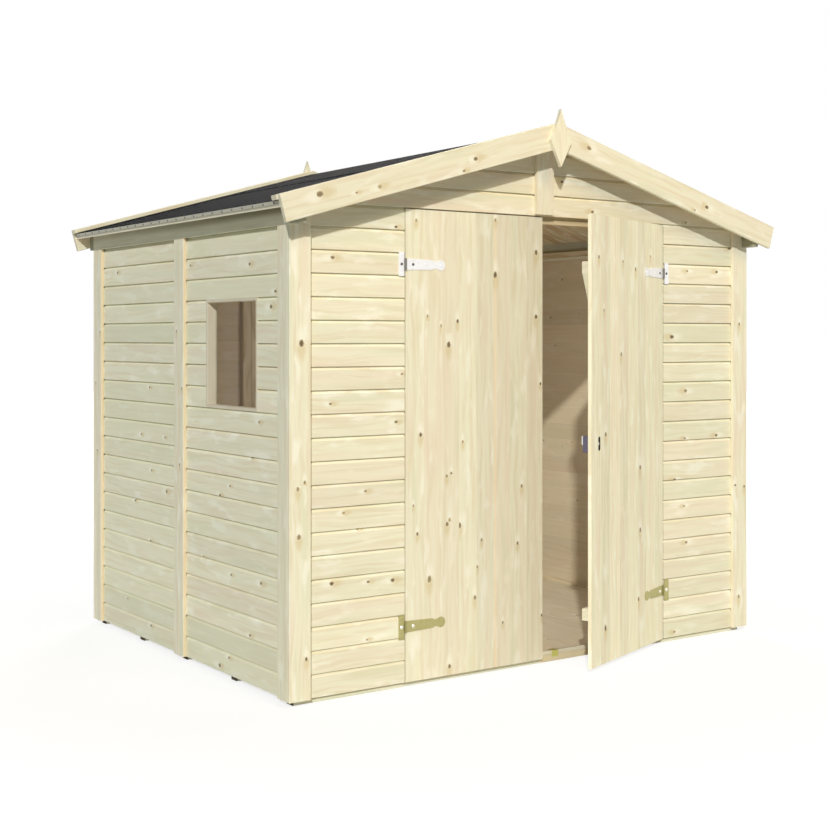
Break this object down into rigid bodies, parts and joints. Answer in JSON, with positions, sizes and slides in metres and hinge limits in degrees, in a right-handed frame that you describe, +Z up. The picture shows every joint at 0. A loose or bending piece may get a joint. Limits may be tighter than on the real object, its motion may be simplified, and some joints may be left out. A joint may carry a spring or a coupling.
{
  "type": "wooden garden shed",
  "caption": "Gable-front wooden garden shed with shiplap walls, double ledged doors on T-hinges, a side window and a felt roof",
  "frame": {"origin": "on the ground under the middle of the floor, at the centre of the middle bearer's underside", "axes": "+X to the right seen from the front, +Y towards the back wall, +Z up"},
  "size_m": [2.6268, 2.2047, 2.2997],
  "materials": {
    "spruce_boards": "planed, untreated",
    "spruce_frame": "planed, untreated",
    "spruce_floor": "planed, untreated",
    "bearers": "sawn, impregnated",
    "felt": "mineral-faced roofing felt",
    "zinc": "zinc plated",
    "lock": "dark enamel",
    "pane": "clear, thin"
  },
  "bodies": {
    "shed": {"back_gable": "spruce_boards", "back_trims": "spruce_boards", "back_wall": "spruce_boards", "barge_boards_left": "spruce_boards", "barge_boards_right": "spruce_boards", "eaves_battens": "spruce_boards", "eaves_beams": "spruce_boards", "end_wall_rails": "spruce_frame", "end_wall_studs": "spruce_frame", "felt_left": "felt", "felt_right": "felt", "finials": "spruce_boards", "floor_bearers": "bearers", "floor_deck": "spruce_floor", "front_gable": "spruce_boards", "front_trims": "spruce_boards", "front_wall_left": "spruce_boards", "front_wall_right": "spruce_boards", "left_hinge_plates": "zinc", "left_trims": "spruce_boards", "left_wall_front": "spruce_boards", "left_wall_rear": "spruce_boards", "ridge_beam": "spruce_frame", "right_hinge_plates": "zinc", "right_trims": "spruce_boards", "right_wall_front": "spruce_boards", "right_wall_rear": "spruce_boards", "roof_boards_left": "spruce_boards", "roof_boards_right": "spruce_boards", "side_wall_rails": "spruce_frame", "side_wall_studs": "spruce_frame", "threshold_keep": "zinc", "verge_battens_left": "spruce_boards", "verge_battens_right": "spruce_boards", "window_lining": "spruce_boards", "window_pane": "pane"},
    "left_door": {"left_door_brace": "spruce_boards", "left_door_leaf": "spruce_boards", "left_door_ledges": "spruce_boards", "left_hinge_straps": "zinc"},
    "right_door": {"right_door_brace": "spruce_boards", "right_door_leaf": "spruce_boards", "right_door_ledges": "spruce_boards", "right_door_lock": "lock", "right_hinge_straps": "zinc"}
  },
  "joints": [
    {"name": "left_door_hinge", "type": "hinge", "parent": "shed", "child": "left_door", "pos_m": [-0.6955, -0.9373, 0.957], "axis": [0, 0, -1], "range_deg": [0, 150]},
    {"name": "right_door_hinge", "type": "hinge", "parent": "shed", "child": "right_door", "pos_m": [0.6955, -0.9373, 0.957], "axis": [0, 0, 1], "range_deg": [-21, 129]}
  ]
}
